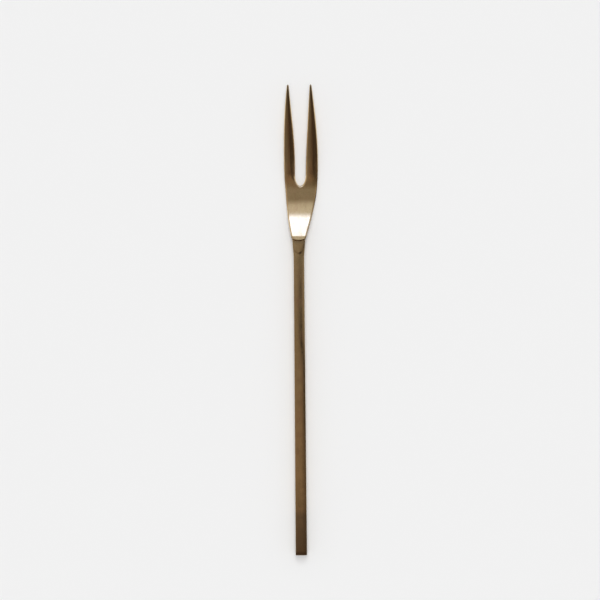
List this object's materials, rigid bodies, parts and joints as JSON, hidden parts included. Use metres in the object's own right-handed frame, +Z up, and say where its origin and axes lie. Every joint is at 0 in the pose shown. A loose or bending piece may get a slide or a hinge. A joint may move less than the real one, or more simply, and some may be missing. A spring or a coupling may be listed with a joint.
{
  "type": "fruit fork",
  "caption": "Slim brass fruit fork: a forked head with tapering, upcurved tines and a dished palm, brazed onto a plain square bar handle.",
  "frame": {"origin": "on the axis of the handle bar, on its underside, half way along the fork", "axes": "+Y along the fork towards the tines, +Z up from the table that the fork lies on, +X to the right"},
  "size_m": [0.0105, 0.145, 0.0057],
  "materials": {
    "head_brass": "hand-polished, lightly aged",
    "handle_brass": "drawn and polished, lightly aged",
    "braze_filler": "filed flush, satin"
  },
  "bodies": {
    "root": {"fork_head": "head_brass", "handle_bar": "handle_brass", "braze_joint": "braze_filler"}
  },
  "joints": []
}
